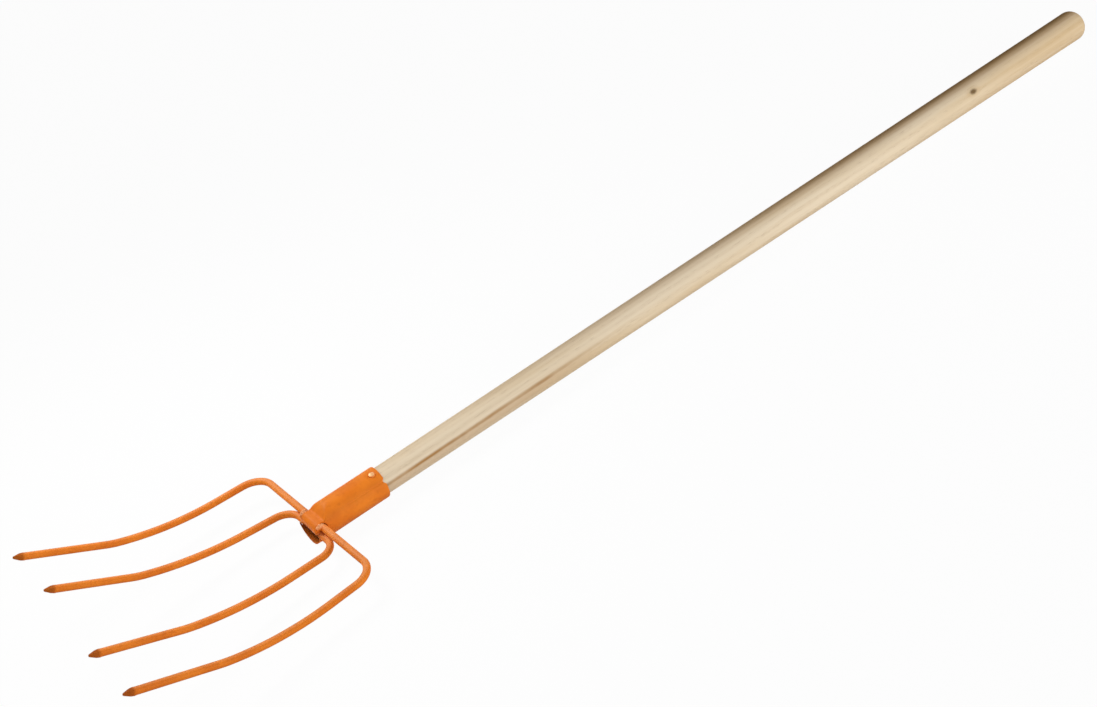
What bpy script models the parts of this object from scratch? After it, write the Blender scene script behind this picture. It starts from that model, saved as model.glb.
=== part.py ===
"""A four-tined pitchfork: a wooden handle in a rolled sheet socket that is pressed over two bent rods.

Every shape is laid out about the middle of the socket's mouth: +X runs along the handle towards
the tips, +Y is the fork's right side, and +Z is the side that the tines curve up to.
"""

import math

import bmesh
import bpy
from mathutils import Matrix, Vector

# Lengths are in metres and angles in degrees. Pieces that touch keep this gap.
contact_gap = 0.0003

# Handle. It fills the socket, and steps down to its waist just inside the socket's rim.
handle_neck_radius = 0.017
handle_waist_radius = 0.0155
handle_butt_radius = 0.02
handle_behind_mouth = 1.2304
handle_shoulder_length = 0.0035
handle_end_behind_press = 0.0005
handle_end_chamfer = 0.003
butt_dome_length = 0.015

# Socket
sheet_thickness = 0.0012
socket_length = 0.0928
seam_angle = 31.0
seam_gap = 0.0006
seam_corner_side = 0.004
seam_length = 0.06
press_starts_behind_mouth = 0.046
press_flat_starts_behind_mouth = 0.0145
press_flat_ends_behind_mouth = 0.0085
press_clearance = 0.0005
press_shoulder = 0.004
lip_behind_mouth = 0.0022
lip_height = 0.0002
lip_skew = 3.5
past_mouth = 0.008
cutter_side_reach = 0.04
cutter_side_start = 0.011
cutter_overrun = 0.004
cutter_overlap = 0.0004
open_slot_top_above_inner_bar = 0.0036
lower_lip_corner_side = 0.0078

# Rods
rod_radius = 0.004
rod_gap = 0.0004
tip_length = 0.0125
tip_end_share = 0.3
tip_shoulder_length = 0.0065
tip_shoulder_share = 0.8
bend_start = 0.0556
gentle_bend_run = 0.1103
tight_bend_run = 0.0146
left_bends_more_by = 1.5
outer_bar_behind_mouth = 0.0113
outer_bar_height = 0.0038
outer_half_width = 0.1215
outer_splay = 3.9
outer_corner_radius = 0.0253
outer_leg_length = 0.2766
outer_pitch = 0.1
outer_gentle_bend = 18.4
outer_tight_bend = 6.5
inner_bar_behind_mouth = 0.0065
inner_half_width = 0.0489
inner_splay = 3.2
inner_corner_radius = 0.0207
inner_leg_shorter_by = 0.0052
inner_right_leg_extra = 0.0024
inner_pitch = 3.4
inner_gentle_bend = 15.7
inner_tight_bend = 6.6

# Nail through the socket into the handle
nail_ahead_of_rim = 0.008
nail_angle = 73.0
nail_seat_depth = 0.0008
nail_seat_radius = 0.0044
nail_head_radius = 0.0038
nail_head_height = 0.0015
nail_head_rim_share = 0.3
nail_shank_radius = 0.0015
nail_shank_length = 0.022
nail_point_length = 0.004

# Weld beads where the rods leave the socket
bead_length = 0.0045
bead_width = 0.0032
bead_height = 0.0024
bead_centre_in = 0.0008

# Sizes that follow from those above
bore_radius = handle_neck_radius + contact_gap
socket_radius = bore_radius + sheet_thickness
handle_end_behind_mouth = press_starts_behind_mouth + handle_end_behind_press
nail_behind_mouth = socket_length - nail_ahead_of_rim
inner_leg_length = outer_leg_length - inner_leg_shorter_by
sheet_middle_radius = bore_radius + sheet_thickness / 2
bar_distance = 2 * rod_radius + rod_gap
bar_drop = math.sqrt(bar_distance**2 - (outer_bar_behind_mouth - inner_bar_behind_mouth) ** 2)
inner_bar_height = outer_bar_height - bar_drop
press_underside = outer_bar_height + rod_radius + press_clearance
press_height = press_underside + sheet_thickness / 2
open_slot_bottom = inner_bar_height - rod_radius - contact_gap

# Facets
turned_steps = 48
dome_steps = 6
slope_steps = 8
roll_steps = 6
tube_columns = 72
wall_columns = 28
wall_top_angle = 50.0
rod_sides_resolution = 6
gentle_bend_steps = 9
tight_bend_steps = 3
corner_steps = 7


class Rod:
    """The sizes of one bent rod, which makes a left and a right tine."""

    def __init__(self, behind, height, half_width, splay, corner_radius, leg_length, right_extra, pitch, bends):
        self.behind = behind
        self.height = height
        self.half_width = half_width
        self.splay = math.radians(splay)
        self.corner_radius = corner_radius
        self.leg_length = leg_length
        self.right_leg_extra = right_extra
        self.pitch = math.radians(pitch)
        self.gentle_bend, self.tight_bend = (math.radians(bend) for bend in bends)

    def leg_point(self, side, distance):
        """The point on a leg's middle line, at a distance from the corner where it would meet the bar."""
        tight_bend = self.tight_bend - side * math.radians(left_bends_more_by)
        angle = self.pitch
        ahead = min(distance, bend_start) * math.cos(angle)
        up = min(distance, bend_start) * math.sin(angle)
        rest = max(distance - bend_start, 0.0)
        for run, bend in ((gentle_bend_run, self.gentle_bend), (tight_bend_run, tight_bend)):
            radius = run / bend
            turned = angle + min(rest, run) / radius
            ahead += radius * (math.sin(turned) - math.sin(angle))
            up += radius * (math.cos(angle) - math.cos(turned))
            angle = turned
            rest = max(rest - run, 0.0)
        ahead += rest * math.cos(angle)
        up += rest * math.sin(angle)
        return Vector(
            (
                -self.behind + ahead * math.cos(self.splay),
                side * (self.half_width + ahead * math.sin(self.splay)),
                self.height + up,
            )
        )

    def corner_points(self, side):
        """The rounded corner between a leg and the crossbar, from the leg to the bar."""
        corner = self.leg_point(side, 0.0)
        along_leg = (self.leg_point(side, bend_start / 2) - corner).normalized()
        along_bar = Vector((0.0, -side, 0.0))
        half_angle = along_leg.angle(along_bar) / 2
        middle = corner + (along_leg + along_bar).normalized() * (self.corner_radius / math.sin(half_angle))
        setback = self.corner_radius / math.tan(half_angle)
        first = corner + along_leg * setback - middle
        last = corner + along_bar * setback - middle
        sweep = first.angle(last)
        points = []
        for step in range(corner_steps + 1):
            share = step / corner_steps
            ahead = math.sin((1 - share) * sweep) / math.sin(sweep)
            behind = math.sin(share * sweep) / math.sin(sweep)
            points.append(middle + first * ahead + last * behind)
        return points

    def half_line(self, side):
        """The middle line of one leg and corner from the tip to the bar, each point with its share of the radius."""
        leg_length = self.leg_length + side * self.right_leg_extra
        tip_start = leg_length - tip_length
        line = [(self.leg_point(side, leg_length), tip_end_share)]
        line.append((self.leg_point(side, leg_length - tip_shoulder_length), tip_shoulder_share))
        line.append((self.leg_point(side, tip_start), 1.0))
        tight_start = bend_start + gentle_bend_run
        distances = [tight_start + tight_bend_run * (1 - step / tight_bend_steps) for step in range(tight_bend_steps)]
        distances += [
            bend_start + gentle_bend_run * (1 - step / gentle_bend_steps) for step in range(gentle_bend_steps + 1)
        ]
        line += [(self.leg_point(side, distance), 1.0) for distance in distances]
        line += [(point, 1.0) for point in self.corner_points(side)]
        return line

    def line(self):
        return self.half_line(-1) + self.half_line(1)[::-1]


outer_rod = Rod(
    outer_bar_behind_mouth,
    outer_bar_height,
    outer_half_width,
    outer_splay,
    outer_corner_radius,
    outer_leg_length,
    0.0,
    outer_pitch,
    (outer_gentle_bend, outer_tight_bend),
)
inner_rod = Rod(
    inner_bar_behind_mouth,
    inner_bar_height,
    inner_half_width,
    inner_splay,
    inner_corner_radius,
    inner_leg_length,
    inner_right_leg_extra,
    inner_pitch,
    (inner_gentle_bend, inner_tight_bend),
)


def clear_scene():
    for item in list(bpy.data.objects):
        bpy.data.objects.remove(item, do_unlink=True)


def new_collection(name):
    collection = bpy.data.collections.new(name)
    bpy.context.scene.collection.children.link(collection)
    return collection


def finish(name, colour, roughness, metallic):
    material = bpy.data.materials.new(name)
    material.use_nodes = True
    shader = material.node_tree.nodes["Principled BSDF"]
    shader.inputs["Base Color"].default_value = (*colour, 1.0)
    shader.inputs["Roughness"].default_value = roughness
    shader.inputs["Metallic"].default_value = metallic
    return material


def object_from_bmesh(name, mesh_data, collection):
    mesh = bpy.data.meshes.new(name)
    mesh_data.to_mesh(mesh)
    mesh_data.free()
    item = bpy.data.objects.new(name, mesh)
    collection.objects.link(item)
    return item


def box(name, low, high, collection):
    """A box between two corners."""
    mesh_data = bmesh.new()
    bmesh.ops.create_cube(mesh_data, size=1.0)
    for vertex in mesh_data.verts:
        for axis in range(3):
            vertex.co[axis] = high[axis] if vertex.co[axis] > 0 else low[axis]
    return object_from_bmesh(name, mesh_data, collection)


def turned(name, profile, collection):
    """A shape turned about Z. The profile runs down its outer side from top to bottom."""
    mesh_data = bmesh.new()
    points = [mesh_data.verts.new((radius, 0.0, height)) for radius, height in profile]
    for first, second in zip(points, points[1:]):
        mesh_data.edges.new((first, second))
    item = object_from_bmesh(name, mesh_data, collection)
    screw = item.modifiers.new("turn", "SCREW")
    screw.axis = "Z"
    screw.steps = turned_steps
    screw.render_steps = turned_steps
    screw.use_merge_vertices = True
    screw.merge_threshold = 0.00005
    screw.use_smooth_shade = True
    return item


def swept(name, line, radius, collection):
    """A round bar along a line of points that each carry a share of the radius."""
    curve = bpy.data.curves.new(name, "CURVE")
    curve.dimensions = "3D"
    curve.bevel_depth = radius
    curve.bevel_resolution = rod_sides_resolution
    curve.use_fill_caps = True
    spline = curve.splines.new("POLY")
    spline.points.add(len(line) - 1)
    for point, (place, share) in zip(spline.points, line):
        point.co = (*place, 1.0)
        point.radius = share
    guide = bpy.data.objects.new(name + "_guide", curve)
    bpy.context.scene.collection.objects.link(guide)
    graph = bpy.context.evaluated_depsgraph_get()
    mesh = bpy.data.meshes.new_from_object(guide.evaluated_get(graph))
    bpy.data.objects.remove(guide, do_unlink=True)
    mesh_data = bmesh.new()
    mesh_data.from_mesh(mesh)
    bpy.data.meshes.remove(mesh)
    bmesh.ops.remove_doubles(mesh_data, verts=mesh_data.verts, dist=0.00001)
    bmesh.ops.recalc_face_normals(mesh_data, faces=mesh_data.faces)
    return object_from_bmesh(name, mesh_data, collection)


def cut(item, cutter):
    """Takes the cutter's shape out of the item and hides the cutter."""
    boolean = item.modifiers.new("cut " + cutter.name, "BOOLEAN")
    boolean.operation = "DIFFERENCE"
    boolean.solver = "EXACT"
    boolean.object = cutter
    cutter.hide_render = True
    cutter.display_type = "WIRE"


def smooth(item):
    """Shades the faces smooth, and keeps edges sharper than 35 degrees."""
    item.data.polygons.foreach_set("use_smooth", [True] * len(item.data.polygons))
    item.data.set_sharp_from_angle(angle=math.radians(35))


def blend(low, high, value):
    """Rises smoothly from 0 at low to 1 at high."""
    share = min(max((value - low) / (high - low), 0.0), 1.0)
    return share * share * (3 - 2 * share)


def pressed_rows(offset):
    """The top of the socket from its rear rim, over the pressed flat, to the lip that is rolled down in front.

    Each row has its place, the height of the top, and how far the press has reached there, from 0 to 1.
    An offset of half the sheet's thickness gives the outside, and its negative the inside.
    """
    radius = sheet_middle_radius + offset
    flat_height = press_height + offset
    rows = [(-socket_length, radius, 0.0)]
    slope_length = press_starts_behind_mouth - press_flat_starts_behind_mouth
    for step in range(slope_steps + 1):
        reached = blend(0, 1, step / slope_steps)
        place = -press_starts_behind_mouth + slope_length * step / slope_steps
        rows.append((place, radius + (flat_height - radius) * reached, reached))
    roll_length = press_flat_ends_behind_mouth - lip_behind_mouth + offset
    for step in range(roll_steps + 1):
        turn = math.radians(90 * step / roll_steps)
        place = -press_flat_ends_behind_mouth + roll_length * math.sin(turn)
        rows.append((place, lip_height + (flat_height - lip_height) * math.cos(turn), 1.0))
    rows.append((past_mouth, lip_height, 1.0))
    return rows


def section_angle(column, top_height, radius):
    """The angle of a column of points about the bar. The columns on the walls end where the flat begins."""
    wall_top = min(math.asin(top_height / radius), math.radians(wall_top_angle))
    from_nearest_bottom = min(column, tube_columns - column)
    if from_nearest_bottom < wall_columns:
        angle = (wall_top + math.pi / 2) * from_nearest_bottom / wall_columns - math.pi / 2
    else:
        share = (from_nearest_bottom - wall_columns) / (tube_columns / 2 - wall_columns)
        angle = wall_top + (math.pi / 2 - wall_top) * share
    return angle if column <= tube_columns / 2 else math.pi - angle


def flattened_bar(name, rows, radius, collection):
    """A solid round bar along X, with its top pressed down to the height of each row.

    The lip is rolled down slightly askew, so the upper points near it move ahead on the right side.
    """
    mesh_data = bmesh.new()
    bmesh.ops.create_grid(mesh_data, x_segments=len(rows) - 1, y_segments=tube_columns, size=0.5)
    skew = math.tan(math.radians(lip_skew))
    for vertex in mesh_data.verts:
        place, top_height, reached = rows[round((vertex.co.x + 0.5) * (len(rows) - 1))]
        angle = section_angle(round((vertex.co.y + 0.5) * tube_columns), top_height, radius)
        across = radius * math.cos(angle)
        height = radius * math.sin(angle)
        shoulder = press_shoulder * reached * blend(lip_height, press_height, top_height)
        to_shoulder = max(shoulder - abs(height - top_height), 0.0)
        if height > top_height:
            fold_angle = math.asin(top_height / radius)
            flat_share = (angle - fold_angle) / (math.pi - 2 * fold_angle)
            across = radius * math.cos(fold_angle) * (1 - 2 * flat_share)
            height = top_height
        if to_shoulder > 0:
            height -= to_shoulder**2 / (4 * shoulder)
        if place < 0:
            near_lip = blend(-press_flat_ends_behind_mouth, -lip_behind_mouth, place)
            place += skew * across * near_lip * blend(lip_height - press_shoulder, lip_height, height)
        vertex.co = (place, across, height)
    bmesh.ops.remove_doubles(mesh_data, verts=mesh_data.verts, dist=0.00001)
    rims = [edge for edge in mesh_data.edges if edge.is_boundary]
    bmesh.ops.holes_fill(mesh_data, edges=rims, sides=0)
    bmesh.ops.recalc_face_normals(mesh_data, faces=mesh_data.faces)
    return object_from_bmesh(name, mesh_data, collection)


def sheet_corner(name, place, angle, side, collection):
    """A square block that stands on its corner and takes the corners off the sheet's edge, seen from outside."""
    low = (-side / 2, -side / 2, bore_radius - cutter_overrun)
    high = (side / 2, side / 2, socket_radius + cutter_overrun)
    block = box(name, low, high, collection)
    turn_on_corner = Matrix.Rotation(math.radians(45), 4, "Z")
    lean = Matrix.Rotation(math.radians(angle - 90), 4, "X")
    block.data.transform(lean @ turn_on_corner)
    block.location.x = place
    return block


def make_handle(collection, cutters):
    front = -handle_end_behind_mouth
    back = -handle_behind_mouth
    profile = [(0.0, front), (handle_neck_radius - handle_end_chamfer, front)]
    profile.append((handle_neck_radius, front - handle_end_chamfer))
    profile.append((handle_neck_radius, handle_shoulder_length - socket_length))
    profile.append((handle_waist_radius, -socket_length))
    for step in range(dome_steps):
        turn = math.radians(90 * step / dome_steps)
        height = back + butt_dome_length * (1 - math.sin(turn))
        profile.append((handle_butt_radius * math.cos(turn), height))
    profile.append((0.0, back))
    handle = turned("handle", profile, collection)
    handle.rotation_euler = (0.0, math.radians(90), 0.0)
    cut(handle, nail_hole("nail_hole_in_handle", cutters))
    return handle


def lean_as_nail(item):
    """Turns an upright shape about the socket's middle line to the nail's place."""
    item.location.x = -nail_behind_mouth
    item.rotation_euler.x = math.radians(nail_angle - 90)


def nail_hole(name, cutters):
    """A drilled hole for the nail's shank, from above the socket to below the nail's point."""
    top = socket_radius + nail_head_height
    bottom = socket_radius - nail_seat_depth - nail_shank_length - contact_gap
    radius = nail_shank_radius + contact_gap
    profile = [(0.0, top), (radius, top), (radius, bottom), (0.0, bottom)]
    hole = turned(name, profile, cutters)
    lean_as_nail(hole)
    return hole


def make_socket(clear_rods, collection, cutters):
    socket = flattened_bar("socket", pressed_rows(sheet_thickness / 2), socket_radius, collection)
    inside_rows = pressed_rows(-sheet_thickness / 2)
    inside_rows[0] = (-socket_length - sheet_thickness, bore_radius, 0.0)
    above_lip = lip_height + cutter_overlap
    inside_rows[-1:] = [(-lip_behind_mouth, above_lip, 1.0), (2 * past_mouth, above_lip, 1.0)]
    cut(socket, flattened_bar("socket_hollow", inside_rows, bore_radius, cutters))
    reach = cutter_side_reach
    open_top = inner_bar_height + open_slot_top_above_inner_bar
    below_lip = box("below_lip", (0.0, -reach, -reach), (2 * past_mouth, reach, reach), cutters)
    cut(socket, below_lip)
    open_slot = box(
        "open_slot",
        (-inner_bar_behind_mouth, cutter_side_start, open_slot_bottom),
        (past_mouth, reach, open_top),
        cutters,
    )
    cut(socket, open_slot)
    for clear_rod in clear_rods:
        cut(socket, clear_rod)
    slot_angle = math.degrees(math.asin(open_slot_bottom / sheet_middle_radius))
    cut(socket, sheet_corner("lower_lip_corner", 0.0, slot_angle, lower_lip_corner_side, cutters))
    cut(socket, sheet_corner("seam_corner", -socket_length, seam_angle, seam_corner_side, cutters))
    seam = box(
        "seam",
        (-socket_length - cutter_overrun, bore_radius - cutter_overrun, -seam_gap / 2),
        (-socket_length + seam_length, socket_radius + cutter_overrun, seam_gap / 2),
        cutters,
    )
    seam.data.transform(Matrix.Rotation(math.radians(seam_angle), 4, "X"))
    cut(socket, seam)
    floor = socket_radius - nail_seat_depth
    top = socket_radius + nail_head_height
    profile = [(0.0, top), (nail_seat_radius, top), (nail_seat_radius, floor), (0.0, floor)]
    nail_seat = turned("nail_seat", profile, cutters)
    lean_as_nail(nail_seat)
    cut(socket, nail_seat)
    cut(socket, nail_hole("nail_hole_in_socket", cutters))
    return socket


def make_nail(collection):
    underside = socket_radius - nail_seat_depth + contact_gap
    profile = []
    dome_steps = 5
    for step in range(dome_steps):
        turn = math.radians(90 * step / dome_steps)
        dome_share = nail_head_rim_share + (1 - nail_head_rim_share) * math.cos(turn)
        height = underside + nail_head_height * dome_share
        profile.append((nail_head_radius * math.sin(turn), height))
    profile.append((nail_head_radius, underside + nail_head_height * nail_head_rim_share))
    profile.append((nail_head_radius, underside))
    point = underside - nail_shank_length + nail_point_length
    profile += [(nail_shank_radius, underside), (nail_shank_radius, point), (0.0, point - nail_point_length)]
    nail = turned("fixing_nail", profile, collection)
    lean_as_nail(nail)
    return nail


def make_weld_bead(name, side, rod, above, clear_rods, clear_socket, collection):
    """A bead in the corner between a rod and the socket's wall, above or below the rod."""
    mesh_data = bmesh.new()
    bmesh.ops.create_uvsphere(mesh_data, u_segments=20, v_segments=12, radius=1.0)
    half_sizes = (bead_length, bead_width, bead_height)
    bmesh.ops.transform(mesh_data, matrix=Matrix.Diagonal((*half_sizes, 1.0)), verts=mesh_data.verts)
    height = rod.height + above * (rod_radius + contact_gap)
    across = socket_radius - bead_centre_in
    centre = Vector((-rod.behind, side * across, height))
    bmesh.ops.translate(mesh_data, vec=centre, verts=mesh_data.verts)
    bead = object_from_bmesh(name, mesh_data, collection)
    for cutter in (*clear_rods, clear_socket):
        cut(bead, cutter)
    return bead


clear_scene()
fork = new_collection("pitchfork")
cutters = new_collection("cutters")

# The mouth's middle goes where the whole fork is centred along X and its lowest line is at Z = 0
tip_reach = max(rod.leg_point(1, rod.leg_length + rod.right_leg_extra).x for rod in (outer_rod, inner_rod))
lowest_reach = max(handle_butt_radius, socket_radius)
seat = Vector(((handle_behind_mouth - tip_reach) / 2, 0.0, lowest_reach))

wood = finish("ash_wood", (0.72, 0.56, 0.36), 0.55, 0.0)
orange_paint = finish("orange_paint", (0.66, 0.21, 0.05), 0.42, 0.0)
zinc = finish("nail_zinc", (0.75, 0.72, 0.66), 0.35, 1.0)

outer_tines = swept("outer_tines", outer_rod.line(), rod_radius, fork)
inner_tines = swept("inner_tines", inner_rod.line(), rod_radius, fork)
clear_outer = swept("outer_clearance", outer_rod.line(), rod_radius + contact_gap, cutters)
clear_inner = swept("inner_clearance", inner_rod.line(), rod_radius + contact_gap, cutters)
clear_rods = (clear_outer, clear_inner)
handle = make_handle(fork, cutters)
socket = make_socket(clear_rods, fork, cutters)
nail = make_nail(fork)
clear_rows = pressed_rows(sheet_thickness / 2 + contact_gap)
clear_socket = flattened_bar("socket_clearance", clear_rows, socket_radius + contact_gap, cutters)
beads = []
for side, word in ((-1, "left"), (1, "right")):
    upper = make_weld_bead("outer_weld_" + word, side, outer_rod, 1, clear_rods, clear_socket, fork)
    lower = make_weld_bead("inner_weld_" + word, side, inner_rod, -1, clear_rods, clear_socket, fork)
    beads += [upper, lower]

for item in (*fork.objects, *cutters.objects):
    item.location += seat
for item in (socket, outer_tines, inner_tines, *beads):
    smooth(item)

handle.data.materials.append(wood)
nail.data.materials.append(zinc)
for item in (socket, outer_tines, inner_tines, *beads):
    item.data.materials.append(orange_paint)
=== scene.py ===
# %% [markdown]
# # A four-tined pitchfork
#
# The fork has a turned ash handle about 1.2 m long. It sits in a socket of rolled sheet steel, whose front
# end is pressed flat over two bent steel rods. Each rod makes two of the four tines. The head is painted
# with thin orange enamel. The solids come from the CAD model, and this file gives each one the finer form
# and the finish that the real piece has.

# %% Load the fork's solids
import math
from dataclasses import dataclass

import bmesh
import bpy
from mathutils import Matrix, Vector, noise


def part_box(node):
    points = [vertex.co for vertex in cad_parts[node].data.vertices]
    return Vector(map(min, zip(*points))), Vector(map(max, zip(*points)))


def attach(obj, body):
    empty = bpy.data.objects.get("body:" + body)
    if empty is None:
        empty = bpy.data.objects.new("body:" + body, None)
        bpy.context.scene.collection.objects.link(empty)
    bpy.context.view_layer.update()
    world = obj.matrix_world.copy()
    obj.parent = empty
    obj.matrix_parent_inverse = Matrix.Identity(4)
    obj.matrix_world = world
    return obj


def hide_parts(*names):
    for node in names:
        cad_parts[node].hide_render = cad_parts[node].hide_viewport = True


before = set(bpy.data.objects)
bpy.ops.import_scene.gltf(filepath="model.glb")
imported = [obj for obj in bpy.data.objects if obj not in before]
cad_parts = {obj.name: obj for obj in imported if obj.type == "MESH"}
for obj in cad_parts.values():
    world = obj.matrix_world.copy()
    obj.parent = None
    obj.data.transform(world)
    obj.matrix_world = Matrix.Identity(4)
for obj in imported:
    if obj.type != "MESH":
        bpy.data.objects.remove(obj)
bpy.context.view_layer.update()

print("The fork's solids:", ", ".join(sorted(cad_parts)))

# %% [markdown]
# ## Places are told from the socket's mouth
#
# The maker's drawing measures along the handle from the middle of the socket's mouth. The same sizes are
# used here, and `mouth` carries them to the fork's place on the floor.

# %% The mouth and the handle's sizes
handle_length = 1.2304
butt_radius = 0.02
butt_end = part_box("handle")[0][0]
mouth = Vector((butt_end + handle_length, 0.0, butt_radius))
print("The mouth's middle is at", [round(value, 4) for value in mouth])

# %% [markdown]
# ## Where the camera stands
#
# The photograph was taken from the fork's right side, from above, a little ahead of the mouth. The camera's
# place and its turn were worked out from the traced edges of the rods, socket and handle. A camera's turn
# can be written as angles, but three plain directions are easier to check: right, up and back.

# %% Camera
scene = bpy.context.scene
scene.view_settings.view_transform = "Standard"

camera_place = mouth + Vector((0.38499170, 1.35242577, 1.02419387))
camera_right = Vector((-0.77039021, 0.58868120, -0.24485376))
camera_up = Vector((-0.50416709, -0.32739738, 0.79914110))
camera_back = camera_right.cross(camera_up)

lens = bpy.data.cameras.new("camera")
lens.lens = 54.462
lens.sensor_fit = "HORIZONTAL"
lens.sensor_width = 36.0
lens.clip_start = 0.01
camera = bpy.data.objects.new("camera", lens)
camera.matrix_world = Matrix.Translation(camera_place) @ Matrix(
    (camera_right, camera_up, camera_back)
).transposed().to_4x4()
scene.collection.objects.link(camera)
scene.camera = camera
print("The camera stands", round(camera_place.length, 2), "m from the fork's middle")

# %% [markdown]
# ## Nodes without the clicking
#
# A material is a graph of nodes. The helpers here add a node with its settings and links in one call, and
# name the few steps that come back often, so that each finish reads as a short list. Colours are written as
# a screen's values from 0 to 255, and turned into the light values that Blender works in.


# %% Helpers for node graphs
def screen_colour(red, green, blue):
    """The light values of a colour that is written as screen values."""
    values = []
    for level in (red, green, blue):
        share = level / 255
        values.append(share / 12.92 if share <= 0.04045 else ((share + 0.055) / 1.055) ** 2.4)
    return (*values, 1.0)


def add_node(tree, kind, settings=None, **inputs):
    """Adds a node, sets its own settings, and then gives each named input a value or a link."""
    item = tree.nodes.new(kind)
    for name, value in (settings or {}).items():
        setattr(item, name, value)
    for name, value in inputs.items():
        key = int(name[1:]) if name[0] == "i" and name[1:].isdigit() else name.replace("_", " ")
        if isinstance(value, bpy.types.NodeSocket):
            tree.links.new(value, item.inputs[key])
        else:
            item.inputs[key].default_value = value
    return item


def do_sum(tree, operation, first, second=0.0, third=0.0, clamp=False):
    """One arithmetic step on numbers."""
    settings = {"operation": operation, "use_clamp": clamp}
    return add_node(tree, "ShaderNodeMath", settings, i0=first, i1=second, i2=third).outputs[0]


def fade(tree, value, low, high, out_low=0.0, out_high=1.0):
    """Turns a run from low to high into one from out_low to out_high, with soft ends."""
    settings = {"interpolation_type": "SMOOTHSTEP"}
    ends = {"i1": low, "i2": high, "i3": out_low, "i4": out_high}
    return add_node(tree, "ShaderNodeMapRange", settings, i0=value, **ends).outputs[0]


print("Mid grey on a screen is", round(screen_colour(128, 128, 128)[0], 3), "as light")


# %% Helpers for finishes
def mix_colour(tree, share, first, second):
    """Mixes two colours by a share from 0 to 1. A mix node's colours are its inputs 6 and 7."""
    item = add_node(tree, "ShaderNodeMix", {"data_type": "RGBA"}, i0=share, i6=first, i7=second)
    return item.outputs[2]


def lay_over(tree, colour, added, mask, strength):
    """Lays a colour over another one where the mask is 1, at a strength."""
    return mix_colour(tree, do_sum(tree, "MULTIPLY", mask, strength), colour, added)


def marked(tree, name):
    """Reads a value that is stored on the points of a mesh."""
    return add_node(tree, "ShaderNodeAttribute", {"attribute_name": name}).outputs["Fac"]


def new_finish(name):
    """A material with its shader ready to be fed."""
    finish = bpy.data.materials.new(name)
    finish.use_nodes = True
    tree = finish.node_tree
    return finish, tree, tree.nodes["Principled BSDF"]


def feed(tree, shader, colour, rough, relief, strength, distance):
    """Gives a shader its colour, its roughness and its relief."""
    bump = add_node(tree, "ShaderNodeBump", Strength=strength, Distance=distance, Height=relief)
    for name, value in (("Base Color", colour), ("Roughness", rough), ("Normal", bump.outputs[0])):
        tree.links.new(value, shader.inputs[name])


print("A finish is fed its colour, roughness and relief")

# %% [markdown]
# ## The white studio
#
# The fork lies on a white sweep under soft light. A floor that is lit until it looks white would flood the
# fork from below. So the floor and the surroundings only look white to the camera and in reflections. A small
# part of the floor's look still comes from real light, which keeps a soft shadow under the fork. The
# surroundings' light is full on the near side and almost none on the far side.


# %% Floor and surroundings
def seen_directly(tree):
    """1 for what the camera sees, directly or in a reflection, and 0 for the light on surfaces."""
    path = tree.nodes.new("ShaderNodeLightPath")
    seen = do_sum(tree, "ADD", path.outputs["Is Camera Ray"], path.outputs["Is Glossy Ray"], clamp=True)
    return do_sum(tree, "ADD", seen, path.outputs["Is Transmission Ray"], clamp=True)


floor_half_size = 8.0
floor_glow_share = 0.96
paper_grey = 0.8

floor_finish = bpy.data.materials.new("floor_white")
floor_finish.use_nodes = True
tree = floor_finish.node_tree
tree.nodes.clear()
paper = add_node(tree, "ShaderNodeBsdfDiffuse", Color=(paper_grey, paper_grey, paper_grey, 1.0))
glow = add_node(tree, "ShaderNodeEmission", Color=(1.0, 1.0, 1.0, 1.0), Strength=1.0)
glow_share = do_sum(tree, "MULTIPLY", seen_directly(tree), floor_glow_share)
surface = add_node(tree, "ShaderNodeMixShader", i0=glow_share, i1=paper.outputs[0], i2=glow.outputs[0])
add_node(tree, "ShaderNodeOutputMaterial", Surface=surface.outputs[0])

floor_mesh = bmesh.new()
bmesh.ops.create_grid(floor_mesh, x_segments=4, y_segments=4, size=floor_half_size)
mesh = bpy.data.meshes.new("floor")
floor_mesh.to_mesh(mesh)
floor_mesh.free()
floor = bpy.data.objects.new("floor", mesh)
floor.data.materials.append(floor_finish)
scene.collection.objects.link(floor)

print("The floor is", 2 * floor_half_size, "m wide")

# %% Light from the room
near_side_light, far_side_light = 1.15, 0.05
towards_light = (0.0, 0.85, -0.5)
dark_from, bright_from = -0.75, 0.85

world = bpy.data.worlds.new("studio")
world.use_nodes = True
scene.world = world
tree = world.node_tree
tree.nodes.clear()
direction = tree.nodes.new("ShaderNodeTexCoord").outputs["Generated"]
facing = add_node(tree, "ShaderNodeVectorMath", {"operation": "DOT_PRODUCT"}, i0=direction, i1=towards_light)
strength = fade(tree, facing.outputs["Value"], dark_from, bright_from, far_side_light, near_side_light)
room = add_node(tree, "ShaderNodeBackground", Color=(1.0, 1.0, 1.0, 1.0), Strength=strength)
white = add_node(tree, "ShaderNodeBackground", Color=(1.0, 1.0, 1.0, 1.0), Strength=1.0)
seen = seen_directly(tree)
surface = add_node(tree, "ShaderNodeMixShader", i0=seen, i1=room.outputs[0], i2=white.outputs[0])
add_node(tree, "ShaderNodeOutputWorld", Surface=surface.outputs[0])
print("The far side of the room gives", far_side_light, "of full light")

# %% [markdown]
# ## Two soft lamps
#
# In the photo the handle's far side is in shade, and the shade deepens towards the butt. At the head the
# tops of the rods and the socket shine instead. So a wide lamp stands low on the near side, and a smaller one
# hangs over the head from the far side, kept narrow so that it does not reach the butt. Area lamps leave long
# soft streaks on painted rods.


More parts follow.
